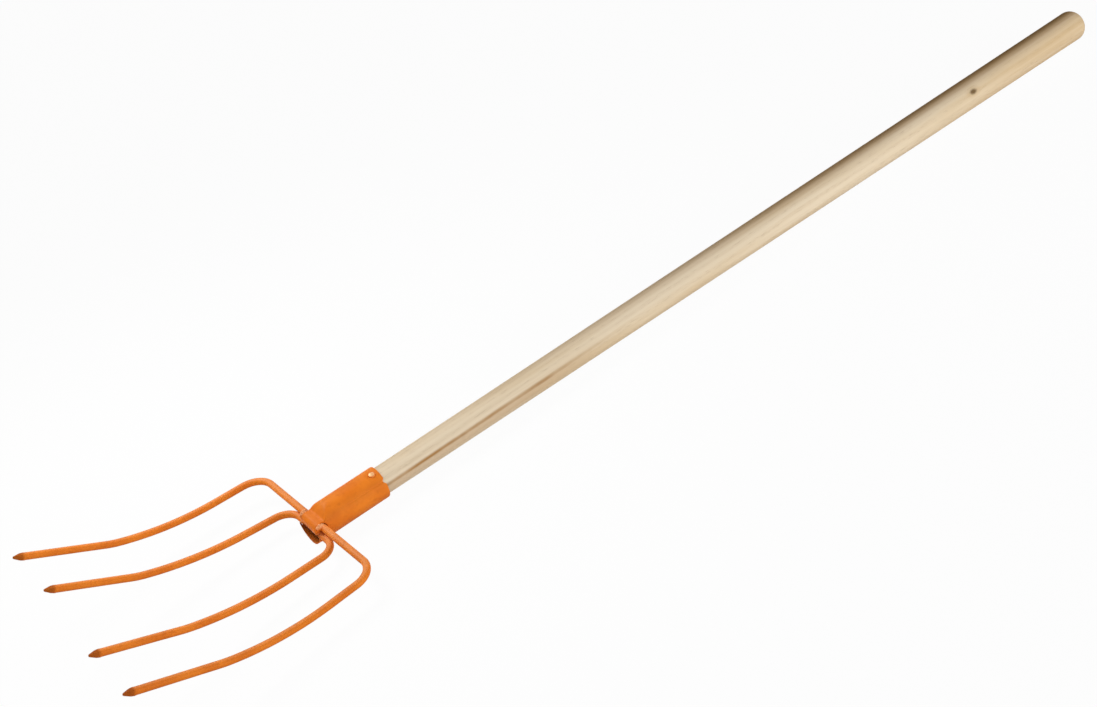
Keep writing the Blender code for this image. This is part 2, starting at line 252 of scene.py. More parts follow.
# %% Lamps
def add_lamp(name, place, target, size, power, spread=180.0):
    """A square area lamp that faces a point."""
    lamp = bpy.data.lights.new(name, "AREA")
    lamp.shape = "SQUARE"
    lamp.size = size
    lamp.energy = power
    lamp.spread = math.radians(spread)
    item = bpy.data.objects.new(name, lamp)
    item.location = place
    item.rotation_euler = (Vector(target) - Vector(place)).to_track_quat("-Z", "Y").to_euler()
    scene.collection.objects.link(item)


add_lamp("near_lamp", (-0.85, 1.7, 0.2), (-0.55, 0.0, 0.02), size=1.1, power=21.0)
add_lamp("head_lamp", (0.62, -0.7, 1.0), (0.5, 0.0, 0.02), size=0.6, power=2.8, spread=80.0)

# %% [markdown]
# ## Ash wood
#
# Ash has a pale straight grain. Each year adds a ring of open pores, which shows along a turned pole as long
# fine streaks. The rings are drawn as bands around a pith that lies outside the pole, because such a pole is
# split from a larger log. Stretched noise then bends the bands, and two finer layers add pores and slow
# changes of tone. The same layers drive the roughness and the bump, so that grain catches the light.

# %% Ash finish
ash, tree, shader = new_finish("ash_wood")
place = tree.nodes.new("ShaderNodeTexCoord").outputs["Object"]


def stretched_noise(tree, place, along, across, detail=3.0, roughness=0.5, shift=0.0):
    """Noise with its own scale along the pole and across it."""
    location, scale = (shift, shift, shift), (along, across, across)
    mapped = add_node(tree, "ShaderNodeMapping", Vector=place, Location=location, Scale=scale).outputs[0]
    item = add_node(tree, "ShaderNodeTexNoise", Vector=mapped, Scale=1.0, Detail=detail, Roughness=roughness)
    return item.outputs["Fac"]


pith_offset = (0.0, 0.021, -0.034)
ring_scale = 62.0
drawn_out = (0.09, 1.0, 1.0)
mapped = add_node(tree, "ShaderNodeMapping", Vector=place, Location=pith_offset, Scale=drawn_out)
rings = add_node(
    tree,
    "ShaderNodeTexWave",
    {"wave_type": "RINGS", "rings_direction": "X"},
    Vector=mapped.outputs[0],
    Scale=ring_scale,
    Distortion=5.0,
    Detail=3.0,
    Detail_Scale=0.5,
    Detail_Roughness=0.65,
)
ring_tone = fade(tree, rings.outputs["Fac"], 0.2, 1.0)
slow_tone = stretched_noise(tree, place, 3.0, 42.0)
long_grain = stretched_noise(tree, place, 7.0, 380.0, detail=4.0, roughness=0.6)
pores = stretched_noise(tree, place, 90.0, 2400.0, detail=2.0, shift=3.0)
pore_depth = do_sum(tree, "MULTIPLY", fade(tree, pores, 0.56, 0.72), ring_tone)

pale_ash = screen_colour(228, 211, 184)
warm_ash = screen_colour(214, 191, 156)
ring_ash = screen_colour(198, 168, 126)
pore_brown = screen_colour(150, 118, 80)
colour = mix_colour(tree, fade(tree, slow_tone, 0.32, 0.72), pale_ash, warm_ash)
colour = lay_over(tree, colour, ring_ash, ring_tone, strength=0.1)
colour = lay_over(tree, colour, ring_ash, fade(tree, long_grain, 0.48, 0.75), strength=0.14)
colour = lay_over(tree, colour, pore_brown, pore_depth, strength=0.35)
print("The ash has", len(tree.nodes), "nodes so far")

# %% [markdown]
# ## A dark streak and a handled end
#
# A long brown streak starts at the socket, on the near side, and fades out after a third of a metre. Below
# it, the pole's lower side near the socket gets painted shade, which fades out with the streak. The streak
# winds round the pole a little, so its place is an angle about the pole's middle that changes slowly along
# the pole. The last quarter of the pole is browner, where hands hold it, and the far upper side gets painted
# shade, more so towards the butt. Angles start from level on the near side.

# %% Streak
streak_start, streak_turn = 5.0, 34.0
streak_core, streak_half_width = 0.02, 0.24
streak_fades_from, streak_end = 0.26, 0.44
shade_below_strength = 0.42
streak_and_shade_brown = screen_colour(166, 124, 76)

parts = add_node(tree, "ShaderNodeSeparateXYZ", Vector=place)
along = do_sum(tree, "SUBTRACT", mouth.x, parts.outputs["X"])
above_middle = do_sum(tree, "SUBTRACT", parts.outputs["Z"], mouth.z)
angle = do_sum(tree, "ARCTAN2", above_middle, parts.outputs["Y"])
streak_angle = do_sum(tree, "MULTIPLY_ADD", along, math.radians(streak_turn), math.radians(streak_start))
off_streak = do_sum(tree, "SUBTRACT", angle, streak_angle)
waver = do_sum(tree, "MULTIPLY_ADD", slow_tone, 0.14, -0.05)
off_streak = do_sum(tree, "ADD", off_streak, waver)
patchy = fade(tree, stretched_noise(tree, place, 16.0, 30.0, shift=7.0), 0.3, 0.6, 0.6, 1.0)
streak = fade(tree, do_sum(tree, "ABSOLUTE", off_streak), streak_half_width, streak_core)
streak = do_sum(tree, "MULTIPLY", streak, patchy)
# Below the streak, the lower side near the socket gets painted shade, which fades out with the streak.
below = do_sum(tree, "MULTIPLY", fade(tree, off_streak, 0.3, -0.2), fade(tree, off_streak, -1.0, -0.4))
below = do_sum(tree, "MULTIPLY", below, shade_below_strength)
streak = do_sum(tree, "MAXIMUM", streak, below)
streak = do_sum(tree, "MULTIPLY", streak, fade(tree, along, streak_end, streak_fades_from))
colour = mix_colour(tree, streak, colour, streak_and_shade_brown)
print("The streak turns", streak_turn, "degrees in each metre")

# %% Handled end and painted shade on the far side
handled_from, handled_fully = 0.95, 1.22
shade_middle = 128.0
shade_core, shade_half_width = 0.35, 1.45
shade_at_socket, shade_at_butt = 0.1, 0.95
handled_ash = screen_colour(200, 168, 122)
shaded_ash = screen_colour(172, 132, 82)

worn_grain = fade(tree, long_grain, 0.2, 0.7, 0.2, 0.5)
handled = do_sum(tree, "MULTIPLY", fade(tree, along, handled_from, handled_fully), worn_grain)
colour = mix_colour(tree, handled, colour, handled_ash)
# The far upper side gets painted shade, which deepens towards the butt.
off_middle = do_sum(tree, "ABSOLUTE", do_sum(tree, "SUBTRACT", angle, math.radians(shade_middle)))
shaded = fade(tree, off_middle, shade_half_width, shade_core)
shaded = do_sum(tree, "MULTIPLY", shaded, fade(tree, along, 0.0, 1.1, shade_at_socket, shade_at_butt))
colour = mix_colour(tree, shaded, colour, shaded_ash)
print("The tanned side has its middle at", shade_middle, "degrees")

# %% [markdown]
# ## A knot and a used butt
#
# Near the butt there is one brown knot. It is a distance from a point, drawn out along the grain and made
# uneven with noise, which stays sharp from close by, unlike an image. The butt's end shows end grain, which
# soaks up dirt and is a little darker.

# %% Knot, end grain and the shader
knot_place = mouth + Vector((-1.0078, 0.0162, 0.0106))
knot_core, knot_edge = 0.0022, 0.0056
halo_core, halo_edge = 0.004, 0.0105
knot_brown = screen_colour(104, 80, 50)

offset = add_node(tree, "ShaderNodeVectorMath", {"operation": "SUBTRACT"}, i0=place, i1=knot_place).outputs[0]
squashed = add_node(tree, "ShaderNodeVectorMath", {"operation": "MULTIPLY"}, i0=offset, i1=(0.6, 1.0, 1.0))
length = add_node(tree, "ShaderNodeVectorMath", {"operation": "LENGTH"}, i0=squashed.outputs[0])
wobble = do_sum(tree, "MULTIPLY", stretched_noise(tree, place, 300.0, 300.0), 0.0016)
from_knot = do_sum(tree, "ADD", length.outputs["Value"], wobble)
colour = lay_over(tree, colour, ring_ash, fade(tree, from_knot, halo_edge, halo_core), strength=0.4)
colour = lay_over(tree, colour, knot_brown, fade(tree, from_knot, knot_edge, knot_core), strength=0.9)

end_grain = fade(tree, along, handle_length - 0.012, handle_length - 0.001)
colour = lay_over(tree, colour, pore_brown, end_grain, strength=0.35)

rough = do_sum(tree, "MULTIPLY_ADD", long_grain, 0.2, 0.55)
rough = do_sum(tree, "MULTIPLY_ADD", pore_depth, 0.2, rough)
shader.inputs["Specular IOR Level"].default_value = 0.02
relief = do_sum(tree, "MULTIPLY_ADD", pore_depth, -0.7, do_sum(tree, "MULTIPLY", long_grain, 0.5))
relief = do_sum(tree, "MULTIPLY_ADD", ring_tone, -0.15, relief)
feed(tree, shader, colour, rough, relief, strength=0.5, distance=0.00035)
print("The knot lies", round(mouth.x - knot_place.x, 3), "m behind the mouth")

# %% [markdown]
# ## The handle
#
# A lathe turns the pole, so each of its cross-sections is a ring, and a mesh of many rings can follow every
# change of width. The pole fills the socket, steps down to 31 mm just inside the socket's rim, swells evenly
# to 40 mm at the butt, and ends in a low dome. Sanding by hand leaves it slightly out of round.


# %% Helpers for turned shapes
def smooth_step(low, high, value):
    """Rises softly from 0 at low to 1 at high."""
    share = min(max((value - low) / (high - low), 0.0), 1.0)
    return share * share * (3 - 2 * share)


def bridge_rings(mesh_data, rings):
    """Joins neighbouring rings of points with faces."""
    count = len(rings[0])
    for first, second in zip(rings, rings[1:]):
        for index in range(count):
            following = (index + 1) % count
            mesh_data.faces.new((first[index], first[following], second[following], second[index]))


def close_ring(mesh_data, ring):
    """Closes a ring with a fan of faces about its middle."""
    middle = mesh_data.verts.new(sum((point.co for point in ring), Vector()) / len(ring))
    for index, point in enumerate(ring):
        mesh_data.faces.new((middle, point, ring[(index + 1) % len(ring)]))


def add_object(name, mesh_data, finish=None):
    """Puts a finished mesh into the scene."""
    bmesh.ops.recalc_face_normals(mesh_data, faces=mesh_data.faces)
    mesh = bpy.data.meshes.new(name)
    mesh_data.to_mesh(mesh)
    mesh_data.free()
    mesh.polygons.foreach_set("use_smooth", [True] * len(mesh.polygons))
    item = bpy.data.objects.new(name, mesh)
    scene.collection.objects.link(item)
    if finish:
        mesh.materials.append(finish)
    return item


def add_solid(name, mesh_data, rings, finish=None):
    """Joins rings of points to a closed solid and puts it into the scene."""
    bridge_rings(mesh_data, rings)
    close_ring(mesh_data, rings[0])
    close_ring(mesh_data, rings[-1])
    return add_object(name, mesh_data, finish)


def stand_for(piece, node):
    """Attaches a finished piece to the root body and hides the solid that it stands for."""
    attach(piece, "root")
    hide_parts(node)
    print(piece.name, "has", len(piece.data.polygons), "faces")


# %% The handle's width
neck_radius, waist_radius = 0.017, 0.0155
handle_front = -0.0465
socket_length = 0.0928
shoulder_length = 0.0035
handle_chamfer = 0.003
dome_length = 0.015
dome_start = -handle_length + dome_length


def handle_radius(x):
    """The pole's radius at a place along it, told from the mouth."""
    if x > handle_front - handle_chamfer:
        return neck_radius - (x - handle_front + handle_chamfer)
    if x > -socket_length:
        share = min((x + socket_length) / shoulder_length, 1.0)
        return waist_radius + (neck_radius - waist_radius) * share
    share = (-socket_length - x) / (handle_length - socket_length - dome_length)
    radius = waist_radius + (butt_radius - waist_radius) * min(share, 1.0)
    in_dome = max((dome_start - x) / dome_length, 0.0)
    return radius * math.sqrt(1 - min(in_dome, 1.0) ** 2)


print("The pole is", round(2000 * handle_radius(-0.6), 1), "mm thick half way along")

# %% Turn the handle
handle_columns = 96
handle_spacing = 0.004
dome_steps = 16
unevenness, unevenness_run = 0.00012, 0.05

places = [handle_front, handle_front - handle_chamfer / 2, handle_front - handle_chamfer]
places += [-socket_length + shoulder_length, -socket_length]
steps = round((-socket_length - dome_start) / handle_spacing)
places += [-socket_length + (dome_start + socket_length) * step / steps for step in range(1, steps + 1)]
dome_turns = [math.radians(90 * step / dome_steps) for step in range(1, dome_steps)]
places += [dome_start - dome_length * math.sin(turn) for turn in dome_turns]

handle_mesh = bmesh.new()
rings_of_points = []
for x in places:
    ring = []
    for column in range(handle_columns):
        angle = 2 * math.pi * column / handle_columns
        out = Vector((0.0, math.cos(angle), math.sin(angle)))
        hump = unevenness * noise.noise(Vector((x * 9, out.y * 1.3, out.z * 1.3)))
        hump *= smooth_step(-socket_length, -socket_length - unevenness_run, x)
        ring.append(handle_mesh.verts.new(mouth + Vector((x, 0.0, 0.0)) + out * (handle_radius(x) + hump)))
    rings_of_points.append(ring)
stand_for(add_solid("ash_handle", handle_mesh, rings_of_points, ash), "handle")

# %% [markdown]
# ## Orange enamel
#
# The head is dipped in thin orange enamel. Use has left it only a little glossy. It is mottled where the
# steel's scale shows through, and has a few small dark red specks. Painted shade turns it deep red inside the
# socket, in corners and on undersides, and a painted highlight turns it pale on upper sides and edges. An
# image wrapped around the head would stretch at the bends, so the finish is made of noise. Two values that
# are stored on each mesh tell it where to change: `stain_and_painted_shade` at stained and shaded places,
# `painted_highlight` at highlighted ones.

# %% Enamel finish
enamel, tree, shader = new_finish("orange_enamel")
place = tree.nodes.new("ShaderNodeTexCoord").outputs["Object"]
stain_and_painted_shade, painted_highlight = marked(tree, "stain_and_painted_shade"), marked(tree, "painted_highlight")


def even_noise(tree, place, scale, detail=2.0):
    """Noise of one scale in all directions."""
    return add_node(tree, "ShaderNodeTexNoise", Vector=place, Scale=scale, Detail=detail).outputs["Fac"]


clouds = even_noise(tree, place, 38.0, detail=3.0)
mottle = even_noise(tree, place, 150.0)
specks = even_noise(tree, place, 900.0, detail=1.0)
thick_orange = screen_colour(232, 129, 36)
thin_orange = screen_colour(221, 116, 30)
stained_orange = screen_colour(172, 74, 20)
stain_and_shade_red = screen_colour(84, 20, 8)
highlight_orange = screen_colour(232, 172, 126)
colour = mix_colour(tree, fade(tree, clouds, 0.35, 0.65), thick_orange, thin_orange)
colour = lay_over(tree, colour, stained_orange, fade(tree, mottle, 0.52, 0.78), strength=0.22)
colour = lay_over(tree, colour, stain_and_shade_red, fade(tree, specks, 0.68, 0.78), strength=0.08)
# Painted shade inside the socket, in corners and on undersides turns the enamel deep red, as do the real
# stains at the tips and on the beads.
colour = mix_colour(tree, stain_and_painted_shade, colour, stain_and_shade_red)
# A painted highlight makes the enamel pale on the rods' upper sides, the outer beads' tops and the lip's
# edge.
colour = lay_over(tree, colour, highlight_orange, painted_highlight, strength=0.6)
rough = do_sum(tree, "MULTIPLY_ADD", mottle, 0.2, 0.36)
rough = do_sum(tree, "MULTIPLY_ADD", stain_and_painted_shade, 0.55, rough, clamp=True)
relief = do_sum(tree, "MULTIPLY_ADD", mottle, 0.5, clouds)
feed(tree, shader, colour, rough, relief, strength=0.15, distance=0.0003)
shader.inputs["Specular IOR Level"].default_value = 0.09
print("The enamel has", len(tree.nodes), "nodes")

# %% [markdown]
# ## The two bent rods
#
# Each rod is a straight 8 mm bar. It is bent once on each side of the crossbar. Then its legs are curved up,
# gently at first and tighter near the end, and ground to a point. So the shape is one path, and a ring of
# points swept along it. The path is written as a class, because both rods follow the same steps with their
# own sizes. The left legs were bent a little more than the right ones.

# %% The path of a bent rod
rod_radius = 0.004
rod_gap = 0.0004
bend_start = 0.0556
gentle_bend_run, tight_bend_run = 0.1103, 0.0146
half_bend_difference = math.radians(1.5)
corner_steps = 24
leg_spacing, bar_spacing = 0.0025, 0.003
close_run = 0.0136
close_places = [0.0, 0.0004, 0.0008] + [0.0014 + 0.0006 * step for step in range(20)]


@dataclass
class BentRod:
    """The sizes of one bent rod, which makes a left and a right tine. Its angles are in degrees."""

    behind: float
    height: float
    half_width: float
    splay: float
    corner_radius: float
    leg_length: float
    right_extra: float
    pitch: float
    gentle_bend: float
    tight_bend: float

    def leg_point(self, side, distance):
        """The point on a leg's middle line, at a distance from the corner where it would meet the bar."""
        angle, splay = math.radians(self.pitch), math.radians(self.splay)
        straight = min(distance, bend_start)
        ahead, up = straight * math.cos(angle), straight * math.sin(angle)
        rest = max(distance - bend_start, 0.0)
        gentle_bend = math.radians(self.gentle_bend)
        tight_bend = math.radians(self.tight_bend) - side * half_bend_difference
        for run, bend in ((gentle_bend_run, gentle_bend), (tight_bend_run, tight_bend)):
            radius = run / bend
            turned = angle + min(rest, run) / radius
            ahead += radius * (math.sin(turned) - math.sin(angle))
            up += radius * (math.cos(angle) - math.cos(turned))
            angle = turned
            rest = max(rest - run, 0.0)
        ahead += rest * math.cos(angle)
        up += rest * math.sin(angle)
        out = self.half_width + ahead * math.sin(splay)
        return Vector((-self.behind + ahead * math.cos(splay), side * out, self.height + up))

    def corner(self, side):
        """The rounded corner from a leg to the crossbar, and its distance along the leg."""
        meeting = self.leg_point(side, 0.0)
        along_leg = (self.leg_point(side, bend_start / 2) - meeting).normalized()
        along_bar = Vector((0.0, -side, 0.0))
        half_angle = along_leg.angle(along_bar) / 2
        middle = meeting + (along_leg + along_bar).normalized() * (self.corner_radius / math.sin(half_angle))
        setback = self.corner_radius / math.tan(half_angle)
        first = meeting + along_leg * setback - middle
        last = meeting + along_bar * setback - middle
        sweep = first.angle(last)
        points = []
        for step in range(corner_steps + 1):
            turned = sweep * step / corner_steps
            between = first * math.sin(sweep - turned) + last * math.sin(turned)
            points.append(middle + between / math.sin(sweep))
        return points, setback

    def half_path(self, side):
        """One leg from its tip to the crossbar, each point with its distance from the tip."""
        leg_length = self.leg_length + side * self.right_extra
        arc, setback = self.corner(side)
        steps = round((leg_length - setback - close_run) / leg_spacing)
        even_places = [close_run + (leg_length - setback - close_run) * step / steps for step in range(steps)]
        from_tip = close_places + even_places
        path = [(self.leg_point(side, leg_length - distance), distance) for distance in from_tip]
        return path + [(point, leg_length) for point in arc]

    def path(self):
        """The whole rod from the left tip to the right one."""
        left, right = self.half_path(-1), self.half_path(1)
        gap = right[-1][0] - left[-1][0]
        steps = max(round(gap.length / bar_spacing), 2)
        between = [(left[-1][0] + gap * step / steps, self.leg_length) for step in range(1, steps)]
        return left + between + right[::-1]


print("Each leg's bends take up", round(gentle_bend_run + tight_bend_run, 4), "m")

# %% The two rods
outer_behind, inner_behind = 0.0113, 0.0065
outer_height = 0.0038
bar_drop = math.sqrt((2 * rod_radius + rod_gap) ** 2 - (outer_behind - inner_behind) ** 2)
inner_height = outer_height - bar_drop
outer_rod = BentRod(
    outer_behind, outer_height, half_width=0.1215, splay=3.9, corner_radius=0.0253,
    leg_length=0.2766, right_extra=0.0, pitch=0.1, gentle_bend=18.4, tight_bend=6.5,
)
inner_rod = BentRod(
    inner_behind, inner_height, half_width=0.0489, splay=3.2, corner_radius=0.0207,
    leg_length=0.2714, right_extra=0.0024, pitch=3.4, gentle_bend=15.7, tight_bend=6.6,
)
print("Tips spread over", round(2 * outer_rod.leg_point(1, outer_rod.leg_length).y, 4), "m")

# %% [markdown]
# ## Ground points
#
# The last 12.5 mm of each tine are ground on all sides. A slight shoulder marks where grinding began, and the
# very end is left blunt, about 2 mm wide. A cross-section that turns from round to square and shrinks towards
# its middle makes this form. The fresh facets hold less enamel and look redder.

# %% Cross-section of a tine
tip_length = 0.0125
tip_places = (0.0, 0.0008, 0.0065, tip_length)
tip_half_widths = (0.0009, 0.0013, 0.0032, rod_radius)


def tine_section(from_tip):
    """Half width and squareness of the cross-section, at a distance from the tip."""
    if from_tip >= tip_length:
        return rod_radius, 2.0
    index = max(number for number in range(3) if tip_places[number] <= from_tip)
    share = (from_tip - tip_places[index]) / (tip_places[index + 1] - tip_places[index])
    half_width = tip_half_widths[index] + (tip_half_widths[index + 1] - tip_half_widths[index]) * share
    return half_width, 2.0 + 1.6 * smooth_step(tip_length, tip_length - 0.003, from_tip)


print("Half way along its point a tine is", round(2000 * tine_section(tip_length / 2)[0], 1), "mm wide")

# %% [markdown]
# ## Painted highlight above and painted shade below
#
# The upper side of a rod gets a pale painted highlight, and its lower side gets painted shade. Inside the
# socket the lower part of each rod gets painted shade as dark as the sheet. Each point is marked while the
# rod is swept, because the direction in which it faces is known there.

# %% Marks on a rod
lit_side = Vector((0.0, -0.25, 1.0)).normalized()
highlight_share, underside_shade_share, ground_stain, socket_shade = 0.45, 0.22, 0.55, 0.95


def rod_marks(point, out, from_tip):
    """How much stain and painted shade, and how much painted highlight the rod gets, at an offset out from a
    point of its middle line.
    """
    ground = smooth_step(tip_length, 0.008, from_tip)
    # Inside the socket, the rod's lower part gets painted shade.
    under = socket_shade * smooth_step(0.0165, 0.0145, abs(point.y)) * smooth_step(0.0026, 0.0008, out.z)
    # The lower side gets painted shade, and the upper side a painted highlight.
    facing_light = out.normalized().dot(lit_side)
    underside_shade = underside_shade_share * smooth_step(0.1, -0.7, facing_light)
    rod_highlight = (1 - ground) * highlight_share * smooth_step(0.45, 0.95, facing_light)
    return max(ground_stain * ground, under, underside_shade), rod_highlight


# The printed value is the painted shade on a rod inside the socket.
print("Inside the socket a rod's stain is", socket_shade)

# %% Sweep both rods
rod_sides = 48
dent_depth, dent_scale = 0.00003, 60.0


def swept_rod(name, path):
    """A rod swept along a path, with ground points at both ends."""
    mesh_data = bmesh.new()
    stain = mesh_data.verts.layers.float.new("stain_and_painted_shade")
    bright = mesh_data.verts.layers.float.new("painted_highlight")
    up = Vector((0.0, 0.0, 1.0))
    rings = []
    for index, (point, from_tip) in enumerate(path):
        before, after = path[max(index - 1, 0)][0], path[min(index + 1, len(path) - 1)][0]
        ahead = (after - before).normalized()
        up = (up - ahead * up.dot(ahead)).normalized()
        across = ahead.cross(up)
        half_width, square = tine_section(from_tip)
        ring = []
        for side in range(rod_sides):
            angle = 2 * math.pi * side / rod_sides
            cosine, sine = math.cos(angle), math.sin(angle)
            stretch = (abs(cosine) ** square + abs(sine) ** square) ** (-1 / square)
            out = (across * cosine + up * sine) * (half_width * stretch)
            dent = dent_depth * noise.noise((point + out) * dent_scale)
            vertex = mesh_data.verts.new(mouth + point + out * (1 + dent / rod_radius))
            vertex[stain], vertex[bright] = rod_marks(point, out, from_tip)
            ring.append(vertex)
        rings.append(ring)
    return add_solid(name, mesh_data, rings, enamel)


stand_for(swept_rod("outer_rod", outer_rod.path()), "outer_tines")
stand_for(swept_rod("inner_rod", inner_rod.path()), "inner_tines")

# %% [markdown]
# ## The socket's sheet
#
# The socket is a 1.2 mm sheet rolled to a tube. The press flattens its top over the crossbars, rolls a lip
# down in front of them and leaves a D-shaped mouth below. The sheet keeps almost its full height over the
# first half of the slope and then drops steeply onto the rods, as `slope_lateness` says. The sheet is the
# difference of two solid bars that are pressed to the same rows of heights, one a sheet's thickness inside
# the other. That way both faces of the sheet follow the same fold, which a mesh pulled into shape by hand
# would not keep.

# %% Rows of the pressed top
sheet_thickness = 0.0012
contact_gap = 0.0003
bore_radius = neck_radius + contact_gap
socket_radius = bore_radius + sheet_thickness
sheet_middle_radius = bore_radius + sheet_thickness / 2
press_start, flat_start, flat_end = -0.046, -0.0145, -0.0085
above_rod = 0.0005
press_height = outer_height + rod_radius + above_rod + sheet_thickness / 2
lip_place, lip_height = -0.0022, 0.0002
past_mouth = 0.008
tube_steps, slope_steps, roll_steps = 20, 60, 16
slope_lateness = 4.0


def pressed_rows(offset):
    """The top of the socket in rows, half a sheet's thickness above or below the sheet's middle.

    Each row is a place, the height there, and how much of the press's work is done by then.
    """
    radius, flat = sheet_middle_radius + offset, press_height + offset
    tube_places = [(press_start + socket_length) * step / tube_steps for step in range(tube_steps)]
    rows = [(-socket_length + place, radius, 0.0) for place in tube_places]
    for step in range(slope_steps + 1):
        share = step / slope_steps
        done = smooth_step(0, 1, share**slope_lateness)
        rows.append((press_start + (flat_start - press_start) * share, radius + (flat - radius) * done, done))
    roll_length = lip_place - flat_end + offset
    for step in range(roll_steps + 1):
        turn = math.radians(90 * step / roll_steps)
        height = lip_height + (flat - lip_height) * math.cos(turn)
        rows.append((flat_end + roll_length * math.sin(turn), height, 1.0))
    rows.append((past_mouth, lip_height, 1.0))
    return rows


print("The flat is pressed", round(socket_radius - press_height, 4), "m down")

# %% [markdown]
# ## From rows to a pressed bar
#
# Each row becomes a ring of points. Points that stick out above the row's height fold down onto it, and the
# shoulders beside the flat are rounded, because sheet steel does not fold sharply. The press stood a little
# askew, so the lip's middle line turns by a few degrees.

# %% Pressed bars
tube_columns, wall_columns = 144, 56
wall_top_angle = math.radians(50)
press_shoulder = 0.004
lip_skew = math.tan(math.radians(3.5))


def section_angle(column, top, radius):
    """The angle of a ring's point: even up the wall, and even again over the top."""
    wall_top = min(math.asin(min(top / radius, 1.0)), wall_top_angle)
    from_bottom = min(column, tube_columns - column)
    if from_bottom < wall_columns:
        angle = (wall_top + math.pi / 2) * from_bottom / wall_columns - math.pi / 2
    else:
        share = (from_bottom - wall_columns) / (tube_columns / 2 - wall_columns)
        angle = wall_top + (math.pi / 2 - wall_top) * share
    return angle if column <= tube_columns / 2 else math.pi - angle


def pressed_point(row, radius, column):
    """One point of a ring, folded down onto the height of its row."""
    place, top, done = row
    angle = section_angle(column, top, radius)
    across, height = radius * math.cos(angle), radius * math.sin(angle)
    if done > 0 and height > top:
        fold = math.asin(top / radius)
        across = radius * math.cos(fold) * (1 - 2 * (angle - fold) / (math.pi - 2 * fold))
        height = math.sqrt(radius**2 - across**2)
    shoulder = press_shoulder * done * smooth_step(lip_height, press_height, top)
    to_shoulder = max(shoulder - abs(height - top), 0.0)
    height = min(height, top) if done > 0 else height
    if to_shoulder > 0:
        height -= to_shoulder**2 / (4 * shoulder)
    if place < 0:
        near_lip = smooth_step(lip_height - press_shoulder, lip_height, height)
        place += lip_skew * across * (smooth_step(flat_end, lip_place, place) * near_lip)
    return mouth + Vector((place, across, height))


def flattened_bar(name, rows, radius):
    """A solid round bar whose top is pressed down to each row's height."""
    mesh_data = bmesh.new()
    rings = []
    for row in rows:
        points = [pressed_point(row, radius, column) for column in range(tube_columns)]
        rings.append([mesh_data.verts.new(point) for point in points])
    return add_solid(name, mesh_data, rings)


print("One ring has", tube_columns, "points")

# %% [markdown]
# ## Cutting the socket open
#
# Boolean modifiers take the hollow, the mouth, an open slot and a hole for each crossbar out of the pressed
# bar. The cutters are sized from the rods, so each hole stays a fixed gap wider than its rod.


# %% Helpers for cutting
def block(name, low, high, turn=None):
    """A block between two corners, told from the mouth, and turned about it if a turn is given."""
    mesh_data = bmesh.new()
    bmesh.ops.create_cube(mesh_data, size=1.0)
    for vertex in mesh_data.verts:
        for axis in range(3):
            vertex.co[axis] = high[axis] if vertex.co[axis] > 0 else low[axis]
    if turn:
        bmesh.ops.transform(mesh_data, matrix=turn, verts=mesh_data.verts)
    bmesh.ops.translate(mesh_data, vec=mouth, verts=mesh_data.verts)
    return add_object(name, mesh_data)


def turned_solid(name, profile, turn, sides=40, finish=None):
    """A solid of round rings, each a radius and a height, that stands upright before it is turned."""
    mesh_data = bmesh.new()
    angles = [2 * math.pi * side / sides for side in range(sides)]
    rings = []
    for radius, height in profile:
        points = [Vector((radius * math.cos(angle), radius * math.sin(angle), height)) for angle in angles]
        rings.append([mesh_data.verts.new(mouth + turn @ point) for point in points])
    return add_solid(name, mesh_data, rings, finish)


def take_out(item, cutter):
    """Takes a cutter's shape out of a piece, and removes the cutter."""
    step = item.modifiers.new("cut", "BOOLEAN")
    step.operation = "DIFFERENCE"
    step.solver = "MANIFOLD"
    step.object = cutter
    apply_steps(item)
    print(item.name, "has", len(item.data.polygons), "faces after", cutter.name)
    bpy.data.objects.remove(cutter, do_unlink=True)


def apply_steps(item):
    """Turns the result of a piece's modifiers into its mesh."""
    graph = bpy.context.evaluated_depsgraph_get()
    mesh = bpy.data.meshes.new_from_object(item.evaluated_get(graph))
    item.modifiers.clear()
    item.data = mesh


# %% Cut the socket
side_reach = 0.04
lip_gap = 0.0004
slot_inner_side, slot_rise = 0.011, 0.0036

socket = flattened_bar("rolled_socket", pressed_rows(sheet_thickness / 2), socket_radius)
hollow_rows = pressed_rows(-sheet_thickness / 2)
hollow_rows[0] = (-socket_length - sheet_thickness, bore_radius, 0.0)
above_lip = lip_height + lip_gap
hollow_rows[-1:] = [(lip_place, above_lip, 1.0), (2 * past_mouth, above_lip, 1.0)]
take_out(socket, flattened_bar("hollow", hollow_rows, bore_radius))
low = (0.0, -side_reach, -side_reach)
take_out(socket, block("ahead_of_mouth", low, (2 * past_mouth, side_reach, side_reach)))

slot_bottom = inner_height - rod_radius - contact_gap
low = (-inner_behind, slot_inner_side, slot_bottom)
take_out(socket, block("open_slot", low, (past_mouth, side_reach, inner_height + slot_rise)))
bar_profile = [(rod_radius + contact_gap, end) for end in (-side_reach, side_reach)]
lying_across = Matrix.Rotation(math.radians(90), 4, "X")
for rod in (outer_rod, inner_rod):
    turn = Matrix.Translation((-rod.behind, 0.0, rod.height)) @ lying_across
    take_out(socket, turned_solid("bar_hole", bar_profile, turn, sides=rod_sides))

# %% [markdown]
# ## Rounded corners, nail seat and softened edges
#
# Shears leave the sheet's corners rounded, at the seam and at the mouth. The nail's head has pressed a
# shallow seat. Enamel softens every edge, which a remesh into small cells and a little smoothing give at
# once, where a bevel would stumble over the edges that the cuts leave. A cut as narrow as the seam would be
# lost between the cells, so the seam is made afterwards.

# %% Corners and seat
seam_angle = 31.0
nail_behind, nail_angle = 0.0848, 73.0
lip_corner_size, seam_corner_size = 0.0078, 0.004
seat_radius, seat_depth, hole_radius = 0.0042, 0.0008, 0.0018
cut_reach = 0.004


